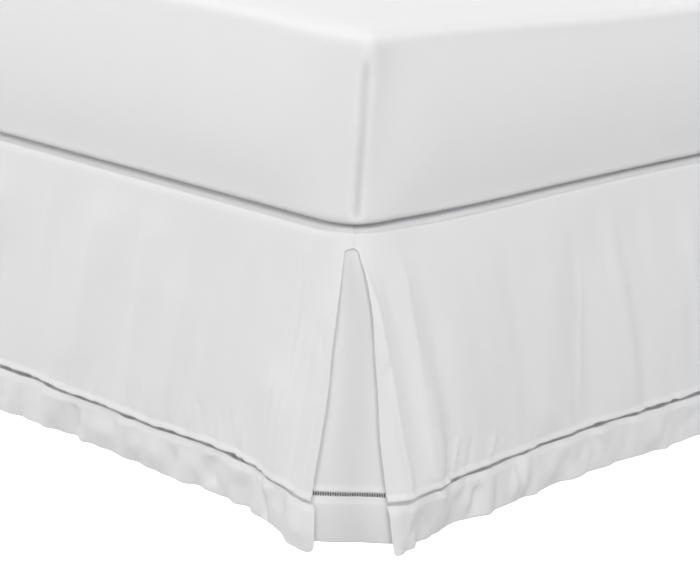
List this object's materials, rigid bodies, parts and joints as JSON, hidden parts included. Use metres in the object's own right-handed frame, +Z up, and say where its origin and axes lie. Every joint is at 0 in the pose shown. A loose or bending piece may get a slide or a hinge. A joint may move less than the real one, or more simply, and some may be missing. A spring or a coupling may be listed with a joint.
{
  "type": "bed skirt on a queen bed",
  "caption": "White tailored bed skirt with split corners, corner insets and a hemstitched hem, hung from a flat deck between the mattress and the base of a plain bed.",
  "frame": {"origin": "on the floor under the middle of the whole object", "axes": "+Z up; +Y along the bed towards its head; +X across the bed, so that the pictured foot corner is at +X, -Y"},
  "size_m": [1.647, 2.0867, 0.6098],
  "materials": {
    "deck_cotton": "plain white lining cotton, matte",
    "drop_cotton": "white percale cotton with a soft sheen and a hemstitched hem",
    "inset_cotton": "white percale cotton with a soft sheen and a hemstitched hem",
    "sheet_cotton": "smooth white cotton sheet, stretched",
    "base_cover": "plain grey woven cover, matte",
    "leg_oak": "satin oiled oak"
  },
  "bodies": {
    "root": {"skirt_deck": "deck_cotton", "drop_foot": "drop_cotton", "drop_side_left": "drop_cotton", "drop_side_right": "drop_cotton", "corner_inset_left": "inset_cotton", "corner_inset_right": "inset_cotton", "mattress": "sheet_cotton", "bed_base": "base_cover", "leg_foot_left": "leg_oak", "leg_foot_right": "leg_oak", "leg_middle_left": "leg_oak", "leg_middle_right": "leg_oak", "leg_head_left": "leg_oak", "leg_head_right": "leg_oak"}
  },
  "joints": []
}
